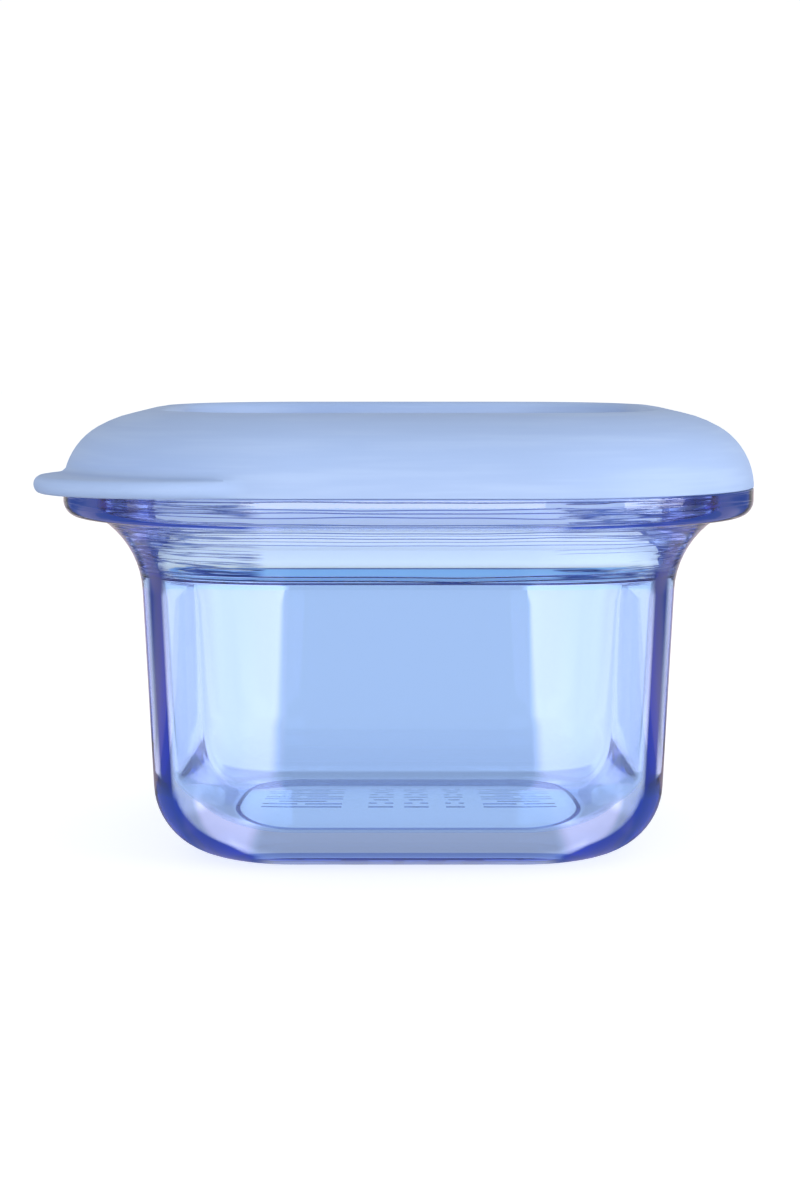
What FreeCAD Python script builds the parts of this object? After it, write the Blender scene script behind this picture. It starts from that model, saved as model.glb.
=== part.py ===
import FreeCAD, Part
import math
import os

import Sketcher

# Lidded pot for small portions of baby food: a thick clear tub, square with round corners,
# and a soft one-piece lid that sits flush on its rim and peels off by a corner tab.
#
# Millimetres, +Z up. The origin is on the pot's axis, on the plane that the tub stands on.
# The tab points to the corner at -X, -Y. Both pieces are one section swept round the same
# rounded square, so every wall, step and round keeps its distance at the corners.

Vector = FreeCAD.Vector

# Every driving dimension: name, value, what it is. "half" lengths run from the pot's axis
# to the middle of a side, and heights run from the plane that the tub stands on.
SIZES = [
    ("corner_axis", 14.0, "axis of each corner's rounds, from the pot's axis along X and Y"),
    ("body_half", 33.35, "outside of the tub's wall where the cove begins"),
    ("wall_draft", 2.7, "lean of the tub's walls below the cove and the step, degrees"),
    ("wall", 2.4, "thickness of the tub's wall"),
    ("base_round", 8.8, "round between the outside wall and the foot"),
    ("floor_thick", 2.8, "floor of the tub above its foot"),
    ("floor_bevel", 5.2, "bevel between the inside wall and the floor"),
    ("panel_half", 22.6, "recess in the underside that leaves the foot standing round it"),
    ("panel_depth", 1.0, "depth of that recess"),
    ("ledge_height", 35.6, "step inside the mouth, below the lid's plug"),
    ("ledge_wide", 1.7, "width of that step"),
    ("mouth_lead", 0.7, "chamfer at the top of the mouth"),
    ("rim_half", 43.0, "outer edge of the rim, and of the lid above it"),
    ("rim_height", 46.1, "top face of the rim"),
    ("rim_thick", 3.9, "thickness of the rim where the cove meets it"),
    ("rim_slope", 7.0, "lean of the rim's under face, degrees"),
    ("rim_bevel", 1.5, "bevel on the rim's lower outer edge"),
    ("rim_wide", 4.6, "from the rim's outer edge in to where the cove meets its under face"),
    ("cove_round", 11.6, "radius of the cove under the rim"),
    ("lid_rise", 9.5, "height of the lid's crest above the rim"),
    ("crest_in", 12.0, "highest line of the lid, in from its outer edge"),
    ("side_less", 0.9, "radius of the lower round of the lid's side, less than the lid's rise"),
    ("lip_bevel", 0.5, "bevel from the crest into the stacking recess"),
    ("lip_wide", 1.5, "edge of the recess's floor, in from the crest"),
    ("recess_depth", 2.0, "floor of the stacking recess below the crest"),
    ("lid_skin", 2.6, "thickness of the lid's domed side, and of its face on the rim"),
    ("lid_plate", 2.0, "thickness of the lid's flat middle"),
    ("hollow_bevel", 2.0, "bevel between the lid's ceiling and the inside of its plug"),
    ("plug_gap", 0.9, "between the mouth and the wall of the lid's plug"),
    ("plug_wall", 1.8, "thickness of the plug"),
    ("plug_lead", 0.6, "bevel on the plug's lower outer edge"),
    ("plug_clear", 2.4, "end of the plug above the step inside the mouth"),
    ("seal_gap", 0.3, "between the mouth and the crest of the plug's seal bead"),
    ("seal_half", 0.9, "half the height of the seal bead, where it stands on the plug"),
    ("seal_rise", 3.6, "crest of the seal bead above the end of the plug"),
    ("tab_axis", 28.5, "axis of the tab's outline, from the pot's axis along X and Y"),
    ("tab_round", 16.15, "radius of the tab's outline"),
    ("tab_thick", 2.2, "thickness of the tab"),
    ("tab_bevel", 0.7, "bevels round the tab's edge"),
    ("tab_root", 1.0, "depth of the tab's root in the lid's skin"),
]
SIZE = {name: value for name, value, _ in SIZES}


def make_sheet(document):
    """The spreadsheet that holds the driving dimensions."""
    sheet = document.addObject("Spreadsheet::Sheet", "dims")
    for row, (name, value, words) in enumerate(SIZES, start=1):
        sheet.set(f"A{row}", words)
        sheet.set(f"B{row}", str(value))
        sheet.setAlias(f"B{row}", name)
    document.recompute()
    return sheet


def origin_plane(body, role):
    """One of the body's own origin planes."""
    return next(f for f in body.Origin.OriginFeatures if f.Role == role)


class Outline:
    """A sketch whose lines and arcs are drawn near their place, then held by dimensions.

    The first points only have to be close: the rules and sizes that follow pull them to
    their exact place, and every size is an expression on the sheet.
    """

    def __init__(self, body, name, role, height=None):
        self.sketch = body.newObject("Sketcher::SketchObject", name)
        self.sketch.AttachmentSupport = (origin_plane(body, role), [""])
        self.sketch.MapMode = "FlatFace"
        if height is not None:
            self.sketch.setExpression("AttachmentOffset.Base.z", height)

    def line(self, start, end):
        return self.sketch.addGeometry(Part.LineSegment(Vector(*start, 0), Vector(*end, 0)))

    def arc(self, centre, radius, first, last):
        """An arc drawn counter-clockwise between two angles in degrees."""
        circle = Part.Circle(Vector(*centre, 0), Vector(0, 0, 1), radius)
        arc = Part.ArcOfCircle(circle, math.radians(first), math.radians(last))
        return self.sketch.addGeometry(arc)

    def rule(self, *words):
        """A constraint without a size."""
        self.sketch.addConstraint(Sketcher.Constraint(*words))

    def size(self, kind, *place, expression, start):
        """A constraint whose size follows an expression on the sheet."""
        number = self.sketch.addConstraint(Sketcher.Constraint(kind, *place, start))
        self.sketch.setExpression(f"Constraints[{number}]", expression)

    def place(self, element, point, x=None, y=None, at=(0.0, 0.0)):
        """Holds a point at expressions x and y from the sketch's origin."""
        if x is not None:
            self.size("DistanceX", -1, 1, element, point, expression=x, start=at[0])
        if y is not None:
            self.size("DistanceY", -1, 1, element, point, expression=y, start=at[1])


START, END, CENTRE = 1, 2, 3


def rounded_square(body, name, half, axis, height=None):
    """A square with round corners. half and axis are pairs: an expression and its value."""
    outline = Outline(body, name, "XY_Plane", height)
    h, c = half[1], axis[1]
    turns = [(1, 1), (-1, 1), (-1, -1), (1, -1)]
    arcs = []
    for quarter, (sx, sy) in enumerate(turns):
        arcs.append(outline.arc((sx * c, sy * c), h - c, 90 * quarter, 90 * quarter + 90))
    # The right side is in two halves, so that the outline starts where the section stands.
    first = outline.line((h, 0), (h, c))
    sides = [
        outline.line((c, h), (-c, h)),
        outline.line((-h, c), (-h, -c)),
        outline.line((-c, -h), (c, -h)),
    ]
    last = outline.line((h, -c), (h, 0))
    outline.rule("Coincident", last, END, first, START)
    outline.rule("PointOnObject", first, START, -1)
    chain = [first, sides[0], sides[1], sides[2], last]
    for quarter, arc in enumerate(arcs):
        outline.rule("Tangent", chain[quarter], END, arc, START)
        outline.rule("Tangent", arc, END, chain[quarter + 1], START)
    for arc, (sx, sy) in zip(arcs, turns):
        outline.place(arc, CENTRE, f"{sx} * ({axis[0]})", f"{sy} * ({axis[0]})", (sx * c, sy * c))
    outline.rule("Vertical", first)
    outline.rule("Horizontal", sides[0])
    outline.rule("Vertical", sides[1])
    outline.rule("Horizontal", sides[2])
    outline.size("DistanceX", -1, 1, first, START, expression=half[0], start=h)
    return outline.sketch


def sweep(body, name, section, path):
    """The section carried once round the path."""
    pipe = body.newObject("PartDesign::AdditivePipe", name)
    pipe.Profile = section
    pipe.Spine = (path, [])
    pipe.Transition = "Transformed"
    return pipe


def tub_section(body):
    """Half of the tub cut through the middle of a side, from the floor out to the rim."""
    s = SIZE
    outline = Outline(body, "tub_section", "XZ_Plane")
    core = s["corner_axis"] + 2
    top = s["rim_height"]
    rim = s["rim_half"]
    crease = (rim - s["rim_wide"], top - s["rim_thick"])
    cove_start = (s["body_half"], crease[1] - s["cove_round"] * 0.83)
    cove_centre = (cove_start[0] + s["cove_round"], cove_start[1])
    base_start = (s["body_half"] - 1.1, s["base_round"])
    base_centre = (base_start[0] - s["base_round"], s["base_round"])
    bevel = s["rim_bevel"]
    bevel_low = crease[1] + 0.5
    inside = s["body_half"] - s["wall"]
    mouth = inside + s["ledge_wide"]
    ledge = s["ledge_height"]
    floor = s["floor_thick"]
    corner = (inside - 1.3, floor + s["floor_bevel"])

    foot = outline.line((core, 0), (base_centre[0], 0))
    base = outline.arc(base_centre, s["base_round"], 270, 360)
    wall = outline.line(base_start, cove_start)
    cove = outline.arc(cove_centre, s["cove_round"], 124, 180)
    under = outline.line(crease, (rim - bevel, bevel_low))
    edge = outline.line((rim - bevel, bevel_low), (rim, bevel_low + bevel))
    side = outline.line((rim, bevel_low + bevel), (rim, top))
    face = outline.line((rim, top), (mouth + s["mouth_lead"], top))
    lead = outline.line((mouth + s["mouth_lead"], top), (mouth, top - s["mouth_lead"]))
    bore = outline.line((mouth, top - s["mouth_lead"]), (mouth, ledge))
    step = outline.line((mouth, ledge), (inside, ledge))
    inner = outline.line((inside, ledge), corner)
    fill = outline.line(corner, (corner[0] - s["floor_bevel"], floor))
    floor_line = outline.line((corner[0] - s["floor_bevel"], floor), (core, floor))
    close = outline.line((core, floor), (core, 0))

    outline.rule("Horizontal", foot)
    outline.rule("Tangent", foot, END, base, START)
    outline.rule("Tangent", base, END, wall, START)
    outline.rule("Tangent", wall, END, cove, END)
    outline.rule("Coincident", cove, START, under, START)
    chain = [under, edge, side, face, lead, bore, step, inner, fill, floor_line, close, foot]
    for one, two in zip(chain, chain[1:]):
        outline.rule("Coincident", one, END, two, START)
    for level in (face, step, floor_line):
        outline.rule("Horizontal", level)
    for upright in (side, bore, close):
        outline.rule("Vertical", upright)

    outline.place(foot, START, "dims.corner_axis + 2", None, (core, 0))
    outline.rule("PointOnObject", foot, START, -1)
    outline.size("Radius", base, expression="dims.base_round", start=s["base_round"])
    outline.size("Angle", -1, 1, wall, START, expression="90 - dims.wall_draft",
                 start=math.radians(90 - s["wall_draft"]))
    outline.place(wall, END, "dims.body_half", None, cove_start)
    outline.size("Radius", cove, expression="dims.cove_round", start=s["cove_round"])
    outline.place(under, START, "dims.rim_half - dims.rim_wide",
                  "dims.rim_height - dims.rim_thick", crease)
    outline.size("Angle", -1, 1, under, START, expression="dims.rim_slope",
                 start=math.radians(s["rim_slope"]))
    outline.size("DistanceX", edge, START, edge, END, expression="dims.rim_bevel", start=bevel)
    outline.size("DistanceY", edge, START, edge, END, expression="dims.rim_bevel", start=bevel)
    outline.place(side, END, "dims.rim_half", "dims.rim_height", (rim, top))
    mouth_half = "dims.body_half - dims.wall + dims.ledge_wide"
    outline.place(bore, START, mouth_half, "dims.rim_height - dims.mouth_lead",
                  (mouth, top - s["mouth_lead"]))
    outline.size("DistanceX", bore, START, face, END, expression="dims.mouth_lead",
                 start=s["mouth_lead"])
    outline.place(inner, START, "dims.body_half - dims.wall", "dims.ledge_height", (inside, ledge))
    outline.rule("Parallel", inner, wall)
    outline.size("DistanceX", fill, END, fill, START, expression="dims.floor_bevel",
                 start=s["floor_bevel"])
    outline.size("DistanceY", fill, END, fill, START, expression="dims.floor_bevel",
                 start=s["floor_bevel"])
    outline.size("DistanceY", -1, 1, floor_line, END, expression="dims.floor_thick", start=floor)
    return outline.sketch


def make_tub(document):
    """The clear tub: wall, rim and foot in one sweep, the floor, and the recess under it."""
    body = document.addObject("PartDesign::Body", "tub")
    body.Label = "tub"
    s = SIZE
    axis = ("dims.corner_axis", s["corner_axis"])
    path = rounded_square(body, "tub_path", ("dims.body_half", s["body_half"]), axis)
    section = tub_section(body)
    document.recompute()
    sweep(body, "tub_wall", section, path)
    core = rounded_square(body, "tub_core", ("dims.corner_axis + 3", s["corner_axis"] + 3), axis)
    floor = body.newObject("PartDesign::Pad", "tub_floor")
    floor.Profile = core
    floor.setExpression("Length", "dims.floor_thick")
    document.recompute()
    before = body.Shape.Volume
    panel = rounded_square(body, "foot_panel", ("dims.panel_half", s["panel_half"]), axis)
    recess = body.newObject("PartDesign::Pocket", "foot_recess")
    recess.Profile = panel
    recess.Reversed = True
    recess.setExpression("Length", "dims.panel_depth")
    document.recompute()
    assert body.Shape.Volume < before - 1, "the recess under the tub cut nothing"
    return body


def lid_section(body):
    """Half of the lid cut through the middle of a side, from its recess out to its edge."""
    s = SIZE
    outline = Outline(body, "lid_section", "XZ_Plane")
    core = s["corner_axis"] + 2
    low = s["rim_height"]
    top = low + s["lid_rise"]
    flat = top - s["recess_depth"]
    ceiling = flat - s["lid_plate"]
    edge = s["rim_half"]
    crest = edge - s["crest_in"]
    recess = crest - s["lip_wide"]
    side_round = s["lid_rise"] - s["side_less"]
    side_axis = (edge - side_round, low)
    reach = s["crest_in"] - side_round
    crown_round = (reach**2 + s["lid_rise"] ** 2 - side_round**2) / (2 * s["side_less"])
    crown_axis = (crest, top - crown_round)
    meet = math.degrees(math.atan2(crown_round - s["lid_rise"], reach))
    out, up = math.cos(math.radians(meet)), math.sin(math.radians(meet))
    shoulder = (side_axis[0] + side_round * out, low + side_round * up)
    knee = (shoulder[0] - s["lid_skin"] * out, shoulder[1] - s["lid_skin"] * up)
    mouth = s["body_half"] - s["wall"] + s["ledge_wide"]
    plug_out = mouth - s["plug_gap"]
    plug_in = plug_out - s["plug_wall"]
    plug_end = s["ledge_height"] + s["plug_clear"]
    lead = s["plug_lead"]
    seal = plug_end + s["seal_rise"]
    seal_out = plug_out + s["plug_gap"] - s["seal_gap"]
    hollow = s["hollow_bevel"]

    side = outline.arc(side_axis, side_round, 0, meet)
    crown = outline.arc(crown_axis, crown_round, meet, 90)
    lip_end = (crest - s["lip_bevel"], top - s["lip_bevel"])
    lip = outline.line((crest, top), lip_end)
    slope = outline.line(lip_end, (recess, flat))
    floor = outline.line((recess, flat), (core, flat))
    close = outline.line((core, flat), (core, ceiling))
    under = outline.line((core, ceiling), (plug_in - hollow, ceiling))
    corner = outline.line((plug_in - hollow, ceiling), (plug_in, ceiling - hollow))
    inner = outline.line((plug_in, ceiling - hollow), (plug_in, plug_end))
    end = outline.line((plug_in, plug_end), (plug_out - lead, plug_end))
    tip = outline.line((plug_out - lead, plug_end), (plug_out, plug_end + lead))
    lower = outline.line((plug_out, plug_end + lead), (plug_out, seal - s["seal_half"]))
    bead = outline.line((plug_out, seal - s["seal_half"]), (seal_out, seal))
    back = outline.line((seal_out, seal), (plug_out, seal + s["seal_half"]))
    upper = outline.line((plug_out, seal + s["seal_half"]), (plug_out, top - s["lid_skin"]))
    roof = outline.line((plug_out, top - s["lid_skin"]), knee)
    skin = outline.line(knee, (edge - s["lid_skin"], low))
    land = outline.line((edge - s["lid_skin"], low), (edge, low))
    # The domed side is one skin thick where its two rounds meet, on the spoke that they share.
    spoke = outline.line(side_axis, shoulder)
    outline.sketch.toggleConstruction(spoke)

    outline.rule("Tangent", side, END, crown, START)
    outline.rule("Coincident", crown, END, lip, START)
    chain = [lip, slope, floor, close, under, corner, inner, end, tip, lower, bead, back,
             upper, roof, skin, land]
    for one, two in zip(chain, chain[1:]):
        outline.rule("Coincident", one, END, two, START)
    outline.rule("Coincident", land, END, side, START)
    outline.rule("Coincident", spoke, START, side, CENTRE)
    outline.rule("Coincident", spoke, END, side, END)
    outline.rule("PointOnObject", skin, START, spoke)
    for level in (floor, under, end, land):
        outline.rule("Horizontal", level)
    for upright in (close, inner, lower):
        outline.rule("Vertical", upright)
    outline.rule("Horizontal", side, CENTRE, side, START)
    outline.rule("Vertical", crown, CENTRE, crown, END)
    outline.rule("Vertical", lower, START, upper, START)
    outline.rule("Vertical", upper)

    crest_high = "dims.rim_height + dims.lid_rise"
    mouth_half = "dims.body_half - dims.wall + dims.ledge_wide"
    end_high = "dims.ledge_height + dims.plug_clear"
    outline.place(side, START, "dims.rim_half", "dims.rim_height", (edge, low))
    outline.size("Radius", side, expression="dims.lid_rise - dims.side_less", start=side_round)
    outline.place(crown, END, "dims.rim_half - dims.crest_in", crest_high, (crest, top))
    for kind in ("DistanceX", "DistanceY"):
        outline.size(kind, lip, END, lip, START, expression="dims.lip_bevel",
                     start=s["lip_bevel"])
    outline.place(floor, START, "dims.rim_half - dims.crest_in - dims.lip_wide",
                  f"{crest_high} - dims.recess_depth", (recess, flat))
    outline.place(floor, END, "dims.corner_axis + 2", None, (core, flat))
    outline.size("DistanceY", under, START, floor, END, expression="dims.lid_plate",
                 start=s["lid_plate"])
    outline.size("DistanceX", corner, START, corner, END, expression="dims.hollow_bevel",
                 start=hollow)
    outline.size("DistanceY", corner, END, corner, START, expression="dims.hollow_bevel",
                 start=hollow)
    outline.size("DistanceY", -1, 1, end, START, expression=end_high, start=plug_end)
    for kind in ("DistanceX", "DistanceY"):
        outline.size(kind, tip, START, tip, END, expression="dims.plug_lead", start=lead)
    outline.size("DistanceX", -1, 1, tip, END, expression=f"{mouth_half} - dims.plug_gap",
                 start=plug_out)
    outline.size("DistanceX", inner, END, tip, END, expression="dims.plug_wall",
                 start=s["plug_wall"])
    outline.place(back, START, f"{mouth_half} - dims.seal_gap", f"{end_high} + dims.seal_rise",
                  (seal_out, seal))
    outline.size("DistanceY", bead, START, bead, END, expression="dims.seal_half",
                 start=s["seal_half"])
    outline.size("DistanceY", back, START, back, END, expression="dims.seal_half",
                 start=s["seal_half"])
    outline.size("DistanceY", -1, 1, upper, END, expression=f"{crest_high} - dims.lid_skin",
                 start=top - s["lid_skin"])
    outline.size("Distance", skin, START, side, END, expression="dims.lid_skin",
                 start=s["lid_skin"])
    outline.size("DistanceX", land, START, land, END, expression="dims.lid_skin",
                 start=s["lid_skin"])
    return outline.sketch


def tab_section(body):
    """The tab's edge: half of a disc with bevelled edges, on the tab's own axis."""
    s = SIZE
    outline = Outline(body, "tab_section", "XZ_Plane", "dims.tab_axis")
    outline.sketch.setExpression("AttachmentOffset.Base.x", "-dims.tab_axis")
    low = s["rim_height"]
    high = low + s["tab_thick"]
    bevel = s["tab_bevel"]
    far = s["tab_round"]
    corners = [(0, low), (far - bevel, low), (far, low + bevel), (far, high - bevel),
               (far - bevel, high), (0, high)]
    under, low_edge, rim, high_edge, over, middle = (
        outline.line(one, two) for one, two in zip(corners, corners[1:] + corners[:1]))
    chain = [under, low_edge, rim, high_edge, over, middle, under]
    for one, two in zip(chain, chain[1:]):
        outline.rule("Coincident", one, END, two, START)
    outline.rule("Horizontal", under)
    outline.rule("Horizontal", over)
    outline.rule("Vertical", rim)
    outline.rule("Vertical", middle)
    outline.rule("PointOnObject", middle, END, -2)
    outline.size("DistanceY", -1, 1, middle, END, expression="dims.rim_height", start=low)
    outline.size("DistanceY", middle, END, middle, START, expression="dims.tab_thick",
                 start=s["tab_thick"])
    outline.size("DistanceX", -1, 1, rim, START, expression="dims.tab_round", start=far)
    for kind in ("DistanceX", "DistanceY"):
        outline.size(kind, low_edge, START, low_edge, END, expression="dims.tab_bevel",
                     start=bevel)
    outline.size("DistanceX", high_edge, END, high_edge, START, expression="dims.tab_bevel",
                 start=bevel)
    outline.size("DistanceY", high_edge, START, high_edge, END, expression="dims.tab_bevel",
                 start=bevel)
    return outline.sketch


def make_lid(document):
    """The lid: a pull tab at one corner, then skin, plug and recess in one sweep."""
    body = document.addObject("PartDesign::Body", "lid")
    body.Label = "lid"
    s = SIZE
    axis = ("dims.corner_axis", s["corner_axis"])
    tab = body.newObject("PartDesign::Revolution", "tab_disc")
    tab.Profile = tab_section(body)
    tab.ReferenceAxis = (tab.Profile[0], ["V_Axis"])
    tab.Angle = 360
    document.recompute()
    before = body.Shape.Volume
    root = ("dims.rim_half - dims.tab_root", s["rim_half"] - s["tab_root"])
    relief = body.newObject("PartDesign::Pocket", "tab_relief")
    relief.Profile = rounded_square(body, "tab_root_line", root, axis, "dims.rim_height")
    relief.Type = "ThroughAll"
    relief.Reversed = True
    document.recompute()
    assert body.Shape.Volume < before - 1, "the tab was not cut back to the lid's skin"
    half = ("dims.rim_half", s["rim_half"])
    path = rounded_square(body, "lid_path", half, axis)
    section = lid_section(body)
    document.recompute()
    sweep(body, "lid_skin", section, path)
    ceiling = "dims.rim_height + dims.lid_rise - dims.recess_depth - dims.lid_plate"
    core = ("dims.corner_axis + 3", s["corner_axis"] + 3)
    plate = body.newObject("PartDesign::Pad", "lid_plate")
    plate.Profile = rounded_square(body, "lid_core", core, axis, ceiling)
    plate.setExpression("Length", "dims.lid_plate")
    document.recompute()
    return body


def build():
    document = FreeCAD.newDocument("food_pot")
    make_sheet(document)
    return document, [make_tub(document), make_lid(document)]


def write(document, pieces):
    """Checks every object, then writes one STEP file for each piece."""
    document.recompute()
    for item in document.Objects:
        if "Invalid" in item.State or "Error" in item.State:
            raise RuntimeError(f"{item.Name} failed: {item.State}")
    for piece in pieces:
        if piece.Shape.isNull() or not piece.Shape.isValid():
            raise RuntimeError(f"{piece.Label} has no valid shape")
    os.makedirs("parts", exist_ok=True)
    for piece in pieces:
        piece.Shape.exportStep(f"parts/{piece.Label}.step")
        volume = piece.Shape.Volume / 1000
        print(f"{piece.Label}: {len(piece.Shape.Solids)} solid, {volume:.1f} cm3")


document, pieces = build()
write(document, pieces)
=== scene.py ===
# %% [markdown]
# # A lidded freezer pot in clear and soft plastic
#
# This lesson models one small food pot: a thick tub of clear blue plastic and a soft, pale
# lid with a pull tab. Both are the same kind of form, a section carried round a square with
# round corners. That is how a toolmaker draws them, so it is how they are drawn here: the
# section is traced vertex by vertex, then extruded along the sides and spun round the corners.

# %% The frame
import math

import bmesh
import bpy
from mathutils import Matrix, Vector


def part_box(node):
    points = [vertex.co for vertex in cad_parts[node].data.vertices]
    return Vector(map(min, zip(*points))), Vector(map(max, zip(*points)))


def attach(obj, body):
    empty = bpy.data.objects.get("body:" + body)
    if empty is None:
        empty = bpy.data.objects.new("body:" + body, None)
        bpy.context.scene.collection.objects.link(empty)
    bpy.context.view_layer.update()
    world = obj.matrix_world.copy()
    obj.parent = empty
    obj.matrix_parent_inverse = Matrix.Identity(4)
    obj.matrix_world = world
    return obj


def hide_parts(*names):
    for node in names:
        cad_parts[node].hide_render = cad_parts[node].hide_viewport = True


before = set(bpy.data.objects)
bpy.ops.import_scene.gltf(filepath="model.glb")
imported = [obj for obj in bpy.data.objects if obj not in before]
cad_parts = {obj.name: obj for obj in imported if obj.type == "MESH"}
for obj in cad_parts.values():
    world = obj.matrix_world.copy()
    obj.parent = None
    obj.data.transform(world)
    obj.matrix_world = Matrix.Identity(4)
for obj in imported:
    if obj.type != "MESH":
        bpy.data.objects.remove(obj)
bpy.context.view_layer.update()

MM = 0.001
tub_low, tub_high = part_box("tub")
lid_low, lid_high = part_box("lid")
print("tub from", [round(c / MM, 1) for c in tub_low], "to", [round(c / MM, 1) for c in tub_high])
print("lid from", [round(c / MM, 1) for c in lid_low], "to", [round(c / MM, 1) for c in lid_high])

# %% [markdown]
# ## The camera
#
# The camera looks at the pot's front from a little above. A long lens keeps the rim's two
# ends nearly level and its sides straight. The aim is worked out from the distance, the
# height and the slope of the view, and not by dragging the camera about.

# %% The camera
CAMERA_AWAY = 320 * MM
CAMERA_HIGH = 63.3 * MM
CAMERA_ASIDE = -1.05 * MM
CAMERA_SLOPE = 5.9
FOCAL_PIXELS = 2443
FRAME_PIXELS = 1200
SENSOR = 36
LEVEL = 90

bpy.ops.object.camera_add(location=(CAMERA_ASIDE, -CAMERA_AWAY, CAMERA_HIGH))
camera = bpy.context.object
camera.name = "camera"
camera.rotation_euler = (math.radians(LEVEL - CAMERA_SLOPE), 0, 0)
camera.data.sensor_width = SENSOR
camera.data.lens = SENSOR * FOCAL_PIXELS / FRAME_PIXELS
bpy.context.scene.camera = camera
print("lens", round(camera.data.lens, 1), "mm")

# %% [markdown]
# ## A pen for sections
#
# A moulded part is best understood from its section. The pen starts as one vertex. A line is
# that vertex extruded, and an arc is the vertex spun about the arc's centre, so each round is
# a true arc with as many steps as its angle needs. The section is drawn upright, at the start
# of the pot's right side, with w measured outwards from the pot's axis and z upwards.

# %% The pen
CORNER_AXIS = 14.0
DEGREES_A_STEP = 6.0
FEWEST_STEPS = 3
SHORTEST_LINE = 1e-7


def deselect_objects():
    bpy.ops.object.select_all(action="DESELECT")


def on_arc(centre, radius, angle):
    """The point of an arc at an angle in degrees, counter-clockwise from outwards."""
    turn = math.radians(angle)
    return centre[0] + radius * math.cos(turn), centre[1] + radius * math.sin(turn)


def line_to(pen, point):
    """Extrudes the selected vertex to a point, unless it is there already."""
    move = ((point[0] - pen[0]) * MM, 0, (point[1] - pen[1]) * MM)
    if Vector(move).length > SHORTEST_LINE:
        bpy.ops.mesh.extrude_region_move(TRANSFORM_OT_translate={"value": move})
    return point


def arc_through(pen, centre, radius, first, last, step=DEGREES_A_STEP):
    """Goes to the arc's first point, then spins the vertex to its last."""
    line_to(pen, on_arc(centre, radius, first))
    steps = max(FEWEST_STEPS, round(abs(last - first) / step))
    middle = (centre[0] * MM, -CORNER_AXIS * MM, centre[1] * MM)
    bpy.ops.mesh.spin(steps=steps, angle=math.radians(last - first), center=middle,
                      axis=(0, 1, 0))
    return on_arc(centre, radius, last)


def draw_section(name, path):
    """A new object in edit mode that holds the section as a chain of edges."""
    deselect_objects()
    bpy.ops.mesh.primitive_plane_add(size=MM)
    piece = bpy.context.object
    piece.name = name
    bpy.ops.object.mode_set(mode="EDIT")
    bpy.ops.mesh.merge(type="CENTER")
    start = path[0]
    place = (start[0] * MM, -CORNER_AXIS * MM, start[1] * MM)
    bpy.ops.transform.translate(value=place)
    pen = start
    for step in path[1:]:
        pen = arc_through(pen, *step) if len(step) > 2 else line_to(pen, step)
    points = len(bmesh.from_edit_mesh(piece.data).verts)
    print(name, "has a section of", points, "points that ends at", [round(c, 2) for c in pen])
    return piece


print("an arc has a step every", DEGREES_A_STEP, "degrees")

# %% [markdown]
# ## Round the square
#
# The four corners share one size, and the four sides too. So the whole wall is eight moves:
# extrude the section along a side, spin it by a quarter turn about the corner's axis, and so
# on round to the start, where the doubled vertices are merged. What stays open is the flat
# middle of the floor or of the lid, which one face closes on each side of the wall.

# %% Carrying a section round
CORNER_STEPS = 32
MERGE = 0.002 * MM


def carry_round(piece):
    """Extrudes the chain along each side, spins it round each corner, and closes the flats."""
    side = 2 * CORNER_AXIS * MM
    reach = CORNER_AXIS * MM
    moves = [((0, side, 0), (reach, reach)), ((-side, 0, 0), (-reach, reach)),
             ((0, -side, 0), (-reach, -reach)), ((side, 0, 0), (reach, -reach))]
    bpy.ops.mesh.select_all(action="SELECT")
    for along, corner in moves:
        bpy.ops.mesh.extrude_region_move(TRANSFORM_OT_translate={"value": along})
        bpy.ops.mesh.spin(steps=CORNER_STEPS, angle=math.radians(-90), center=(*corner, 0),
                          axis=(0, 0, 1))
    bpy.ops.mesh.select_all(action="SELECT")
    bpy.ops.mesh.remove_doubles(threshold=MERGE)
    bpy.ops.mesh.select_all(action="SELECT")
    bpy.ops.mesh.fill_holes(sides=0)
    bpy.ops.mesh.select_all(action="SELECT")
    bpy.ops.mesh.normals_make_consistent(inside=False)
    bpy.ops.object.mode_set(mode="OBJECT")
    print(piece.name, "has", len(piece.data.polygons), "faces")


print("each corner has", CORNER_STEPS, "steps")

# %% [markdown]
# ## Small rounds and smooth shading
#
# No moulded edge is sharp: the smallest still has a round of a few tenths of a millimetre, and
# it is what catches the light. A bevel on every sharp edge makes it. Points that the bevel
# brings together are merged, so the mesh stays closed. Smooth shading then takes its normals
# from the large faces, which keeps the flats flat.

# %% Edge rounds
EDGE_SEGMENTS = 3


def select_only(piece):
    deselect_objects()
    piece.select_set(True)
    bpy.context.view_layer.objects.active = piece


def round_edges(piece, width, sharp=30):
    """A small round on every edge sharper than an angle."""
    select_only(piece)
    bevel = piece.modifiers.new("edge_round", "BEVEL")
    bevel.width = width * MM
    bevel.segments = EDGE_SEGMENTS
    bevel.limit_method = "ANGLE"
    bevel.angle_limit = math.radians(sharp)
    bevel.use_clamp_overlap = True
    bpy.ops.object.modifier_apply(modifier=bevel.name)
    bpy.ops.object.mode_set(mode="EDIT")
    bpy.ops.mesh.select_all(action="SELECT")
    bpy.ops.mesh.remove_doubles(threshold=MERGE)
    bpy.ops.object.mode_set(mode="OBJECT")


def shade_smooth(piece, sharp=30):
    """Smooth shading in which the large flat faces set the normals of the small rounds."""
    select_only(piece)
    bpy.ops.object.shade_smooth_by_angle(angle=math.radians(sharp))
    weigh = piece.modifiers.new("flat_faces_lead", "WEIGHTED_NORMAL")
    weigh.keep_sharp = True
    bpy.ops.object.modifier_apply(modifier=weigh.name)


print("an edge round has", EDGE_SEGMENTS, "faces across it")

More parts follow.
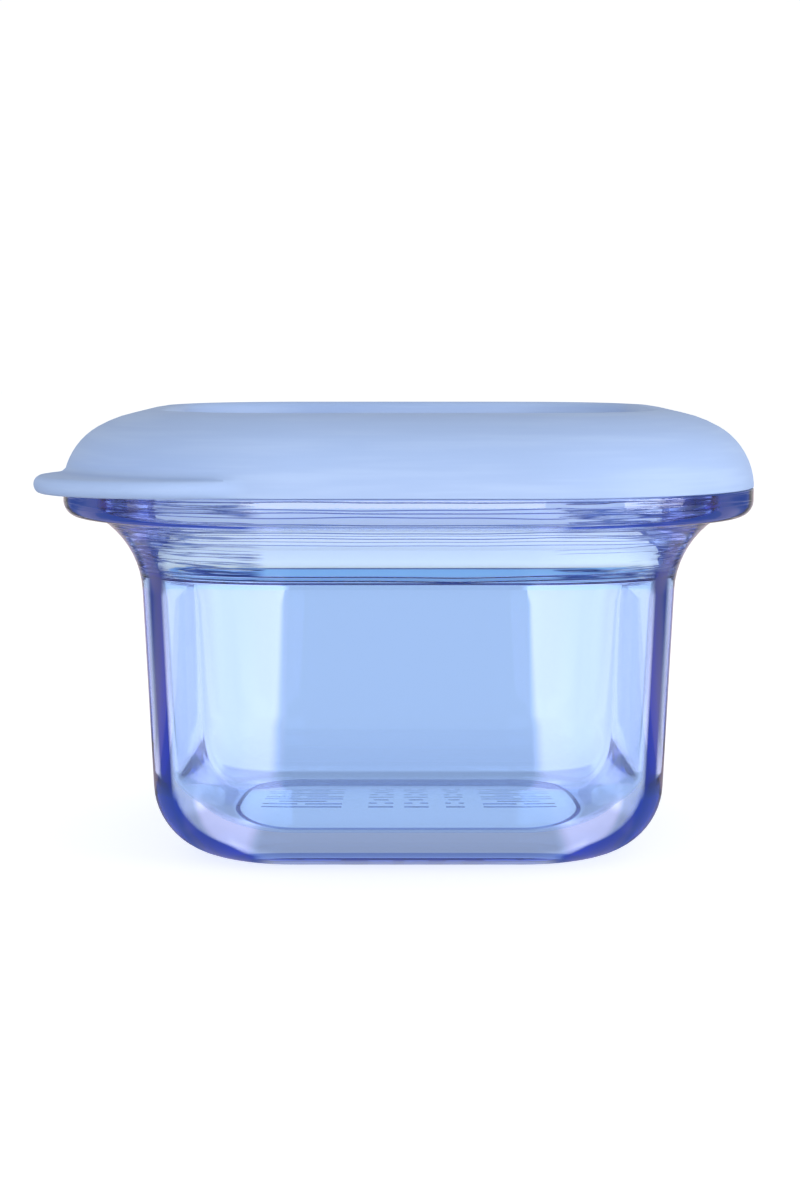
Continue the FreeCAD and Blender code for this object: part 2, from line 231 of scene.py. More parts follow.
# %% [markdown]
# ## The clear tub
#
# From the sunk panel in its underside the section runs out over the foot, up round the base
# and up the wall. A cove turns it out under the thick rim. Inside, it drops down the mouth to
# a narrow ledge, then down the inner wall to the floor. A box could be bevelled into much the
# same form, but the cove, the draft of the wall and the wide inner round would be guesswork.
# In a section each is one line or one arc with its own size.

# %% The tub's section
WALL_DRAFT = 2.7
PANEL_HALF = 22.6
PANEL_DEPTH = 1.0
PANEL_SLANT = 0.5
BASE_ROUND = 8.8
BASE_AXIS = (23.39, BASE_ROUND)
COVE_ROUND = 11.6
COVE_AXIS = (44.94, 32.62)
CREASE = (38.4, 42.2)
RIM_SLOPE = 7.0
RIM_ROUND = 2.0
RIM_HALF = tub_high.x / MM
RIM_TOP = tub_high.z / MM
RIM_EDGE_HIGH = 44.53
EDGE_AXIS = (RIM_HALF - RIM_ROUND, RIM_EDGE_HIGH)
MOUTH_HALF = 32.65
MOUTH_LEAD = 0.7
LEDGE_HIGH = 35.6
WALL = 2.4
BODY_HALF = 33.35
FLOOR = 2.8
FLOOR_ROUND = 8.2
FLOOR_FLAT = 21.58
TUB_EDGE = 0.2

ledge_in = BODY_HALF - WALL
floor_axis = (FLOOR_FLAT, FLOOR + FLOOR_ROUND)
crease_angle = math.degrees(math.atan2(CREASE[1] - COVE_AXIS[1], CREASE[0] - COVE_AXIS[0]))
tub_path = [
    (PANEL_HALF - PANEL_SLANT, PANEL_DEPTH),
    (PANEL_HALF, 0.0),
    (BASE_AXIS, BASE_ROUND, -90, -WALL_DRAFT),
    (COVE_AXIS, COVE_ROUND, 180 - WALL_DRAFT, crease_angle),
    (EDGE_AXIS, RIM_ROUND, RIM_SLOPE - 90, 0),
    (RIM_HALF, RIM_TOP),
    (MOUTH_HALF + MOUTH_LEAD, RIM_TOP),
    (MOUTH_HALF, RIM_TOP - MOUTH_LEAD),
    (MOUTH_HALF, LEDGE_HIGH),
    (ledge_in, LEDGE_HIGH),
    (floor_axis, FLOOR_ROUND, -WALL_DRAFT, -90),
]
tub = draw_section("clear_tub", tub_path)
carry_round(tub)
round_edges(tub, TUB_EDGE)
print("the rim is", round(2 * RIM_HALF, 1), "across and", round(RIM_TOP, 1), "high")

# %% [markdown]
# ## Marks under the foot
#
# A moulder leaves small raised or sunk marks under such a pot. Here they say nothing: they are
# rows of plain bars and pips. A bump in the plastic's finish could stand for them, but they
# show through the clear floor, and only a real cut bends light there. So they are one object
# of many small boxes, taken out of the sunk panel by a Boolean. The tub stays one closed mesh.

# %% Plain bars and pips
MARK_DEEP = 0.3
MARK_WIDE = 0.9
MARK_SPAN = 27.0
MARK_INSET = 0.1
MARK_GAP = 1.0
CUTTER_BELOW = 1.0
MARK_BLOCKS = [(-19.0, -8.5, 10), (-5.1, -1.9, 8), (-0.5, 2.6, 8), (4.8, 7.2, 8),
               (9.6, 19.2, 10)]


def add_box(low, high):
    """A box between two corners, in millimetres, with its place in its mesh."""
    size = [b - a for a, b in zip(low, high)]
    centre = [(a + b) / 2 * MM for a, b in zip(low, high)]
    bpy.ops.mesh.primitive_cube_add(size=MM, location=centre)
    bpy.context.object.scale = size
    bpy.ops.object.transform_apply(location=True, rotation=False, scale=True)
    return bpy.context.object


deselect_objects()
marks = []
for left, right, rows in MARK_BLOCKS:
    for row in range(rows):
        y = MARK_SPAN * (row / (rows - 1) - 0.5)
        top = PANEL_DEPTH + MARK_DEEP
        inset = (row * 7 % 3) * MARK_INSET * (right - left)
        ends = [(left + inset, right - inset)]
        if row % 3 == 1:
            middle = (left + right) / 2
            ends = [(left, middle - MARK_GAP / 2), (middle + MARK_GAP / 2, right)]
        for low, high in ends:
            marks.append(add_box((low, y, PANEL_DEPTH - CUTTER_BELOW),
                                 (high, y + MARK_WIDE, top)))
print(len(marks), "bars and pips")

# %% Cutting the marks
deselect_objects()
for mark in marks:
    mark.select_set(True)
bpy.context.view_layer.objects.active = marks[0]
bpy.ops.object.join()
cutter = bpy.context.object
select_only(tub)
cut = tub.modifiers.new("marks", "BOOLEAN")
cut.operation = "DIFFERENCE"
cut.solver = "EXACT"
cut.object = cutter
bpy.ops.object.modifier_apply(modifier=cut.name)
bpy.data.objects.remove(cutter)
shade_smooth(tub)
print("the tub has", len(tub.data.polygons), "faces with its marks")

# %% [markdown]
# ## The soft lid
#
# The lid's section starts at the edge of its stacking recess, climbs the lip to the crest and
# comes down the domed side to the rim. Under the dome it is hollow, and a plug with a seal
# bead reaches down into the tub's mouth. A single skin given a thickness would be quicker, but
# it couldn't have both the solid land on the rim and the thin plug.

# %% The lid's section
SIDE_ROUND = 8.6
SIDE_AXIS = (RIM_HALF - SIDE_ROUND, RIM_TOP)
CREST_HALF = 31.0
LID_TOP = lid_high.z / MM
LID_SKIN = 2.6
LIP_ROUND = 1.2
LIP_FIRST = 164
RECESS_HALF = 29.5
RECESS_DEPTH = 2.0
LID_PLATE = 2.0
HOLLOW_ROUND = 2.0
PLUG_WALL = 1.8
PLUG_GAP = 0.9
PLUG_CLEAR = 2.4
PLUG_OUT = MOUTH_HALF - PLUG_GAP
PLUG_END = LEDGE_HIGH + PLUG_CLEAR
SEAL_GAP = 0.3
BEAD_ROUND = 1.1
BEAD_RISE = 3.6
BEAD_AXIS = (MOUTH_HALF - SEAL_GAP - BEAD_ROUND, PLUG_END + BEAD_RISE)
SEAM = 0.06
LAND = RIM_TOP + SEAM
LID_EDGE = 0.25

rise = LID_TOP - RIM_TOP
reach = RIM_HALF - CREST_HALF - SIDE_ROUND
crown_round = (reach**2 + rise**2 - SIDE_ROUND**2) / (2 * (rise - SIDE_ROUND))
crown_axis = (CREST_HALF, LID_TOP - crown_round)
meet = math.degrees(math.atan2(crown_round - rise, reach))
lip_axis = (CREST_HALF, LID_TOP - LIP_ROUND)
recess_floor = LID_TOP - RECESS_DEPTH
ceiling = recess_floor - LID_PLATE
tip_axis = (PLUG_OUT - PLUG_WALL / 2, PLUG_END + PLUG_WALL / 2)
hollow_axis = (PLUG_OUT - PLUG_WALL - HOLLOW_ROUND, ceiling - HOLLOW_ROUND)
bead_end = math.degrees(math.acos((PLUG_OUT - BEAD_AXIS[0]) / BEAD_ROUND))
roof_end = math.degrees(math.acos((PLUG_OUT - crown_axis[0]) / (crown_round - LID_SKIN)))
print("the lid's crown has a round of", round(crown_round, 1), "and its plate ends at",
      round(ceiling, 1))

# %% [markdown]
# The lower part of the side is drawn in much finer steps, since the tab will be pulled out of
# it. The side and the hollow under it both stop at the land, a hair above the rim, so that the
# lid's edge shows as a thin dark seam and the two pieces never touch.

# %% The lid
FINE_BELOW = 24
FINE_STEP = 0.75


def seam_angle(radius):
    """Where an arc about the side's axis meets the land."""
    return math.degrees(SEAM / radius)


lid_path = [
    (RECESS_HALF, recess_floor),
    (lip_axis, LIP_ROUND, LIP_FIRST, 90),
    (crown_axis, crown_round, 90, meet),
    (SIDE_AXIS, SIDE_ROUND, meet, FINE_BELOW),
    (SIDE_AXIS, SIDE_ROUND, FINE_BELOW, seam_angle(SIDE_ROUND), FINE_STEP),
    (SIDE_AXIS, SIDE_ROUND - LID_SKIN, seam_angle(SIDE_ROUND - LID_SKIN), meet),
    (crown_axis, crown_round - LID_SKIN, meet, roof_end),
    (BEAD_AXIS, BEAD_ROUND, bead_end, -bead_end),
    (tip_axis, PLUG_WALL / 2, 0, -180),
    (hollow_axis, HOLLOW_ROUND, 0, 90),
]
lid = draw_section("soft_lid", lid_path)
carry_round(lid)
round_edges(lid, LID_EDGE)

# %% [markdown]
# ## The pull tab
#
# The tab is part of the lid's side, drawn out at one corner until there is enough to hold. Its
# plan is a circle whose axis lies on the corner's diagonal, and its edge is fully round. A tab
# stuck on would meet the dome in a hard line. So the skin that is there is drawn out instead:
# each point of the side moves along its own ray until it meets the dome and the tab taken
# together, and a smooth minimum of their distances leaves a soft root where they join.

# %% The form of the tab
TAB_AXIS = 28.5
TAB_ROUND = 16.15
TAB_THICK = 2.2
TAB_ROOT = 1.2
FULL_REACH = 18.0
NEAR_ENOUGH = 1e-4
NEARLY = 0.005

corner_side = SIDE_AXIS[0] - CORNER_AXIS
axis_away = (TAB_AXIS - CORNER_AXIS) * math.sqrt(2)


def tab_reach(turn):
    """How far the tab's edge lies from the corner's axis, at an angle from the diagonal."""
    across = TAB_ROUND**2 - (axis_away * math.sin(turn)) ** 2
    if across <= 0:
        return 0.0
    return max(0.0, axis_away * math.cos(turn) + math.sqrt(across))


def distance_to_skin(r, z, turn):
    """Distance to the dome and the tab together, in the section plane of one corner ray."""
    dome = math.hypot(r - corner_side, z - RIM_TOP) - SIDE_ROUND
    half = TAB_THICK / 2
    past = max(0.0, r - (tab_reach(turn) - half))
    tab = math.hypot(past, z - RIM_TOP - half) - half
    blend = max(0.0, TAB_ROOT - abs(dome - tab)) / TAB_ROOT
    return min(dome, tab) - blend**2 * TAB_ROOT / 4


def skin_reach(lift, turn):
    """How far a ray from the side's own axis goes, at an angle above level, to the skin."""
    near, far = 0.0, FULL_REACH
    while far - near > NEAR_ENOUGH:
        middle = (near + far) / 2
        r, z = corner_side + middle * math.cos(lift), RIM_TOP + middle * math.sin(lift)
        if distance_to_skin(r, z, turn) < NEARLY:
            near = middle
        else:
            far = middle
    return near


print("on its diagonal the tab reaches", round(skin_reach(0.1, 0.0), 2), "from the side's axis")

# %% [markdown]
# Only the outer skin moves. The land under the lid, the hollow and the plug stay as they are,
# so the tab is solid and the lid still sits on the rim all round.

# %% Drawing the tab out of the side
OUTER_SKIN = 0.4
LAND_CLEAR = 0.01
LEAST_STRETCH = 1.0001
DIAGONAL = math.radians(45)

select_only(lid)
bpy.ops.object.mode_set(mode="EDIT")
lid_mesh = bmesh.from_edit_mesh(lid.data)
pulled = 0
for vertex in lid_mesh.verts:
    x, y, z = (c / MM for c in vertex.co)
    along, across = -x - CORNER_AXIS, -y - CORNER_AXIS
    if along <= 0 or across <= 0 or z < LAND - LAND_CLEAR:
        continue
    r = math.hypot(along, across)
    turn = math.atan2(across, along) - DIAGONAL
    away = math.hypot(r - corner_side, z - RIM_TOP)
    lift = math.atan2(z - RIM_TOP, r - corner_side)
    if away < SIDE_ROUND - OUTER_SKIN or lift > math.radians(meet):
        continue
    stretch = skin_reach(lift, turn) / SIDE_ROUND
    if stretch < LEAST_STRETCH:
        continue
    new_r = corner_side + away * stretch * math.cos(lift)
    new_z = RIM_TOP + away * stretch * math.sin(lift)
    way = Vector((-along, -across)) / r
    vertex.co = Vector((-CORNER_AXIS + way.x * new_r, -CORNER_AXIS + way.y * new_r, new_z)) * MM
    pulled += 1
bmesh.update_edit_mesh(lid.data)
bpy.ops.object.mode_set(mode="OBJECT")
shade_smooth(lid)
print("the tab took", pulled, "points and reaches x",
      round(min(v.co.x for v in lid.data.vertices) / MM, 2))

# %% [markdown]
# ## Nodes in code
#
# A procedural finish is a tree of small nodes: places, sums and smooth steps that end in a
# colour or a height. In the node editor each of them is a click and a drag. In code the same
# few come back again and again, so they get short helpers first: a sum, a smooth ramp, a band
# between two ramps, a mix of two numbers, and a mix of two colours by a mask.

# %% Sums
def new_material(name):
    material = bpy.data.materials.new(name)
    material.use_nodes = True
    return material, material.node_tree.nodes, material.node_tree.links


def feed(links, value, socket):
    """Sets a socket to a number or a colour, or links it to another socket."""
    if isinstance(value, (int, float, tuple)):
        socket.default_value = value
    else:
        links.new(value, socket)


def maths(nodes, links, operation, *values):
    """A Math node fed by sockets or numbers."""
    node = nodes.new("ShaderNodeMath")
    node.operation = operation
    for number, value in enumerate(values):
        feed(links, value, node.inputs[number])
    return node.outputs[0]


def inverse(nodes, links, value):
    return maths(nodes, links, "SUBTRACT", 1.0, value)


def product(nodes, links, first, *others):
    for other in others:
        first = maths(nodes, links, "MULTIPLY", first, other)
    return first


print("sums are done by Math nodes")

# %% [markdown]
# Masks are made of smooth steps. A step with a soft edge about as wide as the detail it bounds
# looks moulded, while a hard one looks painted on.

# %% Ramps, bands and mixes
def ramp_between(nodes, links, value, first, last, low=0.0, high=1.0):
    """A smooth change from one level to another while a value goes from first to last."""
    change = nodes.new("ShaderNodeMapRange")
    change.interpolation_type = "SMOOTHSTEP"
    for name, number in (("From Min", first), ("From Max", last), ("To Min", low),
                         ("To Max", high)):
        change.inputs[name].default_value = number
    links.new(value, change.inputs["Value"])
    return change.outputs["Result"]


def band(nodes, links, value, rise, fall):
    """1 between two smooth edges, and 0 outside them."""
    return product(nodes, links, ramp_between(nodes, links, value, *rise),
                   ramp_between(nodes, links, value, *fall))


def ramp_in_mm(nodes, links, value, edges):
    """A ramp between two places that are given in millimetres."""
    return ramp_between(nodes, links, value, *[c * MM for c in edges])


def band_in_mm(nodes, links, value, rise, fall):
    return product(nodes, links, ramp_in_mm(nodes, links, value, rise),
                   ramp_in_mm(nodes, links, value, fall))


def blend_numbers(nodes, links, factor, low, high):
    mix = nodes.new("ShaderNodeMix")
    for name, value in (("Factor", factor), ("A", low), ("B", high)):
        feed(links, value, mix.inputs[name])
    return mix.outputs["Result"]


def tint_over(nodes, links, under, over, mask):
    """Mixes a colour over another by a mask."""
    mix = nodes.new("ShaderNodeMix")
    mix.data_type = "RGBA"
    for name, value in (("A", under), ("B", over), ("Factor", mask)):
        feed(links, value, mix.inputs[name])
    return mix.outputs["Result"]


print("masks are made of smooth ramps")

# %% [markdown]
# ## A point's place on the section
#
# Both pieces are one section carried round, so two numbers say where on the moulding a point
# lies: w, how far out from the axis, and z, how high. A mask can then pick out the rim, the
# plug or the foot all the way round. At a corner w is measured from the corner's own axis. A
# third number tells the corners from the sides, because the plastic looks deepest where it
# turns a corner.

# %% Where on the section
CORNER_RISE = (2.5, 5.0)


def section_place(nodes, links, place):
    """A point's w, its z, and 1 in the corners but 0 along the sides."""
    parts = nodes.new("ShaderNodeSeparateXYZ")
    links.new(place, parts.inputs["Vector"])
    past = []
    for name in ("X", "Y"):
        off = maths(nodes, links, "ABSOLUTE", parts.outputs[name])
        past.append(maths(nodes, links, "MAXIMUM",
                          maths(nodes, links, "SUBTRACT", off, CORNER_AXIS * MM), 0.0))
    squares = [maths(nodes, links, "MULTIPLY", c, c) for c in past]
    away = maths(nodes, links, "SQRT", maths(nodes, links, "ADD", *squares))
    w = maths(nodes, links, "ADD", away, CORNER_AXIS * MM)
    at_corner = ramp_between(nodes, links, maths(nodes, links, "MINIMUM", *past),
                             *[c * MM for c in CORNER_RISE])
    return w, parts.outputs["Z"], at_corner


print("corners count from", CORNER_AXIS + CORNER_RISE[0], "mm out on both sides")

# %% [markdown]
# ## Flow lines
#
# Melted plastic leaves long, fine, level lines where it ran round the mould. Plain noise gives
# soft patches and not lines. But the places where noise crosses its middle value are thin
# lines, like the contours on a map, and noise that is stretched along the level gives level
# ones. Both plastics have them, so they are a node group with its own inputs.

# %% The group of flow lines
FLOW_DETAIL = 3.0
FLOW_ROUGHNESS = 0.6
MIDDLE_VALUE = 0.5


def flow_lines_group():
    """Thin contours of stretched noise."""
    group = bpy.data.node_groups.new("flow_lines", "ShaderNodeTree")
    for name, kind in (("Vector", "NodeSocketVector"), ("Fineness", "NodeSocketFloat"),
                       ("Drift", "NodeSocketFloat"), ("Width", "NodeSocketFloat")):
        group.interface.new_socket(name=name, in_out="INPUT", socket_type=kind)
    group.interface.new_socket(name="Lines", in_out="OUTPUT", socket_type="NodeSocketFloat")
    nodes, links = group.nodes, group.links
    into, out = nodes.new("NodeGroupInput"), nodes.new("NodeGroupOutput")
    parts, joined = nodes.new("ShaderNodeSeparateXYZ"), nodes.new("ShaderNodeCombineXYZ")
    links.new(into.outputs["Vector"], parts.inputs["Vector"])
    for name, scale in (("X", "Drift"), ("Y", "Drift"), ("Z", "Fineness")):
        links.new(product(nodes, links, parts.outputs[name], into.outputs[scale]),
                  joined.inputs[name])
    noise = nodes.new("ShaderNodeTexNoise")
    noise.inputs["Scale"].default_value = 1.0
    noise.inputs["Detail"].default_value = FLOW_DETAIL
    noise.inputs["Roughness"].default_value = FLOW_ROUGHNESS
    links.new(joined.outputs["Vector"], noise.inputs["Vector"])
    off_level = maths(nodes, links, "ABSOLUTE",
                      maths(nodes, links, "SUBTRACT", noise.outputs["Fac"], MIDDLE_VALUE))
    near = maths(nodes, links, "DIVIDE", off_level, into.outputs["Width"])
    links.new(ramp_between(nodes, links, near, 1.0, 0.0), out.inputs["Lines"])
    return group


flow_lines = flow_lines_group()


def add_flow_lines(nodes, links, place, fineness, drift, width):
    lines = nodes.new("ShaderNodeGroup")
    lines.node_tree = flow_lines
    for name, value in (("Fineness", fineness), ("Drift", drift), ("Width", width)):
        lines.inputs[name].default_value = value
    links.new(place, lines.inputs["Vector"])
    return lines.outputs["Lines"]


print("flow_lines has", len(flow_lines.nodes), "nodes")

# %% [markdown]
# ## The lines of the clear tub
#
# A few dark lines of painted shade lie at fixed heights, where edges seen through the rim show
# as dark lines, and wander by a few tenths of a millimetre. Many finer dark ones are painted
# over the rim and the cove at each corner.
# The mask of both drives a shallow bump as well as the colour, so they bend what shows through.

# %% Moulded lines
LINE_HEIGHTS = [45.74, 44.5, 43.13, 41.87, 41.2, 36.46, 35.95]
LINE_HALF = 0.09
LINE_CORE = 0.03
LINE_WANDER = 0.7
WANDER_SCALE = 45
WANDER_DETAIL = 1.0
FINE_LINES = (620, 25, 0.04)
FINE_RISE = (35.5, 36.5)
FINE_FALL = (45.9, 45.7)


def painted_dark_lines(nodes, links, place, z, at_corner):
    """Painted dark lines round the rim and the cove, with many more in the corners."""
    wander = nodes.new("ShaderNodeTexNoise")
    wander.inputs["Scale"].default_value = WANDER_SCALE
    wander.inputs["Detail"].default_value = WANDER_DETAIL
    links.new(place, wander.inputs["Vector"])
    shift = product(nodes, links,
                    maths(nodes, links, "SUBTRACT", wander.outputs["Fac"], MIDDLE_VALUE),
                    LINE_WANDER * MM)
    level = maths(nodes, links, "ADD", z, shift)
    lines = 0.0
    for height in LINE_HEIGHTS:
        off = maths(nodes, links, "ABSOLUTE",
                    maths(nodes, links, "SUBTRACT", level, height * MM))
        line = ramp_between(nodes, links, off, LINE_HALF * MM, LINE_CORE * MM)
        lines = maths(nodes, links, "MAXIMUM", lines, line)
    fine = product(nodes, links, add_flow_lines(nodes, links, place, *FINE_LINES), at_corner,
                   band_in_mm(nodes, links, z, FINE_RISE, FINE_FALL))
    return maths(nodes, links, "MAXIMUM", lines, fine)


print(len(LINE_HEIGHTS), "lines go all the way round")

# %% [markdown]
# ## The deep edges of the clear tub
#
# Thick tinted plastic is palest where one looks straight through a wall. Where a round corner
# turns away, the light has run a long way inside and comes out deep blue, and right at the
# edge it is pale again from the sheen. Here that deep blue is painted shade with a painted
# glow. A Layer Weight node tells how far the surface turns away, so a band of its Facing value
# marks where they are painted: a thin strip up each corner of the wall, and wide ends on the
# rim and the foot. The top of the rim and the mouth stay clear.

# %% Deep edges
WALL_RISE = (8, 10)
WALL_FALL = (42.7, 42.3)
THIN_RISE, THIN_FALL = (0.47, 0.54), (0.78, 0.68)
WIDE_RISE, WIDE_FALL = (0.44, 0.50), (0.84, 0.77)
THIN_GLOW = 0.6
FACING_BLEND = 0.5
COVE_RISE = (36, 38)
COVE_STREAKS = (480, 25, 0.12)
FOOT_TURN_FROM, FOOT_TURN_TO, FOOT_TURN = 3.5, 0.5, 0.2
TOP_FALL = (RIM_TOP - 0.01, RIM_TOP - 0.04)
MOUTH_RISE = (34, 35.4)
MOUTH_FALL = (MOUTH_HALF + 0.75, MOUTH_HALF + 0.4)


def deep_edge(nodes, links, place, w, z, at_corner):
    """Masks for the painted deep shade and its painted glow, only for what the eye meets first."""
    turned = nodes.new("ShaderNodeLayerWeight")
    turned.inputs["Blend"].default_value = FACING_BLEND
    facing = turned.outputs["Facing"]
    path = nodes.new("ShaderNodeLightPath")
    wall = band_in_mm(nodes, links, z, WALL_RISE, WALL_FALL)
    ends = product(nodes, links, inverse(nodes, links, wall), ramp_in_mm(nodes, links, z, TOP_FALL))
    streaks = add_flow_lines(nodes, links, place, *COVE_STREAKS)
    cove = ramp_in_mm(nodes, links, z, COVE_RISE)
    unbroken = inverse(nodes, links, product(nodes, links, cove, streaks))
    turning = band(nodes, links, facing, THIN_RISE, THIN_FALL)
    thin = product(nodes, links, wall, turning, unbroken)
    low = ramp_between(nodes, links, z, FOOT_TURN_FROM * MM, FOOT_TURN_TO * MM, 0.0, FOOT_TURN)
    turn = maths(nodes, links, "SUBTRACT", facing, low)
    wide = product(nodes, links, ends, band(nodes, links, turn, WIDE_RISE, WIDE_FALL))
    mouth = product(nodes, links, ramp_in_mm(nodes, links, z, MOUTH_RISE),
                    ramp_in_mm(nodes, links, w, MOUTH_FALL))
    seen = product(nodes, links, at_corner, path.outputs["Is Camera Ray"],
                   inverse(nodes, links, mouth))
    # painted shade and painted glow on the deep edges
    painted_deep_shade = product(nodes, links, maths(nodes, links, "ADD", thin, wide), seen)
    weak = product(nodes, links, thin, THIN_GLOW)
    glow = product(nodes, links, maths(nodes, links, "ADD", weak, wide), seen)
    return painted_deep_shade, glow


print("the wall's strips run from", WALL_RISE[1], "to", WALL_FALL[1], "mm up")

# %% [markdown]
# ## The colours of the clear tub
#
# The tint has two parts. A light one lies on the faces, and a volume absorbs more the further
# light goes inside. Over the light one go painted shade, each by its own mask: the dark lines,
# the step round the sunk panel, the marks and the deep edges.

# %% Colours and places of the clear tub
CLEAR = (0.70, 0.84, 0.99, 1)
# painted shade of the deep edges, and their painted glow below
EDGE_PAINTED_SHADE = (0.0, 0.0, 0.03, 1)
EDGE_GLOW = (0.010, 0.043, 0.26, 1)
FOOT_GLOW = (0.20, 0.24, 0.34, 1)
# painted shade for the dark lines seen through the rim
PAINTED_LINE_BLUE = (0.03, 0.07, 0.30, 1)
# painted shade for the step round the sunk panel and for the marks
STEP_PAINTED_SHADE = (0.12, 0.22, 0.62, 1)
MARK_PAINTED_SHADE = (0.34, 0.50, 0.86, 1)
LINES_FROM = (32, 32.6)
STEP_RISE = (PANEL_HALF - 0.8, PANEL_HALF - 0.6)
STEP_FALL = (PANEL_HALF + 0.3, PANEL_HALF + 0.1)
STEP_TOP = (1.3, 1.1)
MARK_RISE, MARK_FALL = (1.02, 1.06), (1.45, 1.4)
MARKS_WITHIN = (21, 20.5)
FOOT_FALL = (2.0, 0.9)


def tub_colour(nodes, links, w, z, lines, edge):
    # The step and the marks are tinted darker: painted shade that makes them show.
    step = product(nodes, links, band_in_mm(nodes, links, w, STEP_RISE, STEP_FALL),
                   ramp_in_mm(nodes, links, z, STEP_TOP))
    under_marks = product(nodes, links, band_in_mm(nodes, links, z, MARK_RISE, MARK_FALL),
                          ramp_in_mm(nodes, links, w, MARKS_WITHIN))
    colour = CLEAR
    for over, mask in ((PAINTED_LINE_BLUE, lines), (STEP_PAINTED_SHADE, step), (MARK_PAINTED_SHADE, under_marks),
                       (EDGE_PAINTED_SHADE, edge)):
        colour = tint_over(nodes, links, colour, over, mask)
    return colour


print("marks are tinted within", MARKS_WITHIN[0], "mm of the axis")

# %% [markdown]
# ## Clear plastic that lets light through
#
# Light that goes through glass on its way to the floor is slow to find by chance, and it leaves
# noise. So the plastic is glass for the eye, and plain, faintly tinted transparency for the
# rays that only carry light to other surfaces. The foot and the deep edges also give a little
# light of their own: it stands for what runs down inside the walls and leaves there.

# %% Clear blue plastic
LINE_DEPTH = 0.02
IOR = 1.5
PASSING_TINT = (0.93, 0.96, 1.0, 1)
DEPTH_COLOUR = (0.0, 0.17, 0.75, 1)
DEPTH_DENSITY = 60


def lets_lamps_through(nodes, links):
    """1 for the rays that only carry light to other surfaces, else 0."""
    path = nodes.new("ShaderNodeLightPath")
    return maths(nodes, links, "MAXIMUM", path.outputs["Is Shadow Ray"],
                 path.outputs["Is Diffuse Ray"])


def add_bump(nodes, links, shader, height, strength, distance):
    bump = nodes.new("ShaderNodeBump")
    bump.inputs["Strength"].default_value = strength
    bump.inputs["Distance"].default_value = distance * MM
    links.new(height, bump.inputs["Height"])
    links.new(bump.outputs["Normal"], shader.inputs["Normal"])


def clear_blue_plastic():
    material, nodes, links = new_material("clear_blue_plastic")
    shader = nodes["Principled BSDF"]
    shader.inputs["Roughness"].default_value = 0.0
    shader.inputs["IOR"].default_value = IOR
    shader.inputs["Transmission Weight"].default_value = 1.0
    place = nodes.new("ShaderNodeTexCoord").outputs["Object"]
    w, z, at_corner = section_place(nodes, links, place)
    edge, glow = deep_edge(nodes, links, place, w, z, at_corner)
    lines = product(nodes, links, painted_dark_lines(nodes, links, place, z, at_corner),
                    ramp_in_mm(nodes, links, w, LINES_FROM))
    links.new(tub_colour(nodes, links, w, z, lines, edge), shader.inputs["Base Color"])
    add_bump(nodes, links, shader, lines, 1.0, LINE_DEPTH)
    path = nodes.new("ShaderNodeLightPath")
    foot = product(nodes, links, ramp_in_mm(nodes, links, z, FOOT_FALL),
                   inverse(nodes, links, at_corner), path.outputs["Is Camera Ray"])
    links.new(tint_over(nodes, links, EDGE_GLOW, FOOT_GLOW, foot),
              shader.inputs["Emission Color"])
    links.new(maths(nodes, links, "ADD", glow, foot), shader.inputs["Emission Strength"])
    through = nodes.new("ShaderNodeBsdfTransparent")
    through.inputs["Color"].default_value = PASSING_TINT
    mix = nodes.new("ShaderNodeMixShader")
    links.new(lets_lamps_through(nodes, links), mix.inputs["Fac"])
    links.new(shader.outputs["BSDF"], mix.inputs[1])
    links.new(through.outputs["BSDF"], mix.inputs[2])
    links.new(mix.outputs["Shader"], nodes["Material Output"].inputs["Surface"])
    depth = nodes.new("ShaderNodeVolumeAbsorption")
    depth.inputs["Color"].default_value = DEPTH_COLOUR
    depth.inputs["Density"].default_value = DEPTH_DENSITY
    links.new(depth.outputs["Volume"], nodes["Material Output"].inputs["Volume"])
    return material


clear_blue = clear_blue_plastic()
print("clear_blue_plastic has", len(clear_blue.node_tree.nodes), "nodes")

# %% [markdown]
# ## Soft blue plastic
#
# The lid is an opaque, soft plastic with a satin face, a grain finer than a hair and faint
# streaks from its flow. Its sunk top is painted a little darker, as painted shade. Seen
# through the clear tub the plug and the hollow look much paler, because the tub's walls lead
# light onto them from all sides. So they get a paler colour, painted light, for every ray but
# the eye's own, and a painted glow for the rays that come through the tub. When the lid is off
# and the eye meets them directly, they have the lid's colour.

# %% Colours and places of the lid
SOFT_BLUE = (0.43, 0.57, 0.87, 1)
STREAK_BLUE = (0.36, 0.50, 0.82, 1)
# painted shade in the sunk top
RECESS_PAINTED_SHADE = (0.34, 0.44, 0.67, 1)
# painted light on the hollow and the plug, for every ray but the eye's
HOLLOW_PAINTED_LIGHT = (0.50, 0.72, 1.0, 1)
PLUG_PAINTED_LIGHT = (0.85, 0.91, 0.98, 1)
HOLLOW_GLOW = (0.10, 0.19, 0.26, 1)
PLUG_GLOW = (0.47, 0.42, 0.24, 1)
STREAKS = (420, 22, 0.16)
STREAK_SHARE = 0.6
BELOW_RIM = (RIM_TOP + 0.05, RIM_TOP - 0.05)
PLUG_FROM = (30.2, 30.8)
SUNK_RISE = (RIM_TOP, RIM_TOP + 1)
SUNK_FALL = (LID_TOP - 1.2, LID_TOP - 1.6)
SUNK_WITHIN = (RECESS_HALF + 0.3, RECESS_HALF - 0.3)


def lid_colour(nodes, links, place, w, z, lit, outside):
    streaks = product(nodes, links, add_flow_lines(nodes, links, place, *STREAKS), STREAK_SHARE)
    sunk = product(nodes, links, band_in_mm(nodes, links, z, SUNK_RISE, SUNK_FALL),
                   ramp_in_mm(nodes, links, w, SUNK_WITHIN))
    colour = SOFT_BLUE
    for over, mask in ((STREAK_BLUE, streaks), (RECESS_PAINTED_SHADE, sunk), (HOLLOW_PAINTED_LIGHT, lit),
                       (PLUG_PAINTED_LIGHT, product(nodes, links, lit, outside))):
        colour = tint_over(nodes, links, colour, over, mask)
    return colour


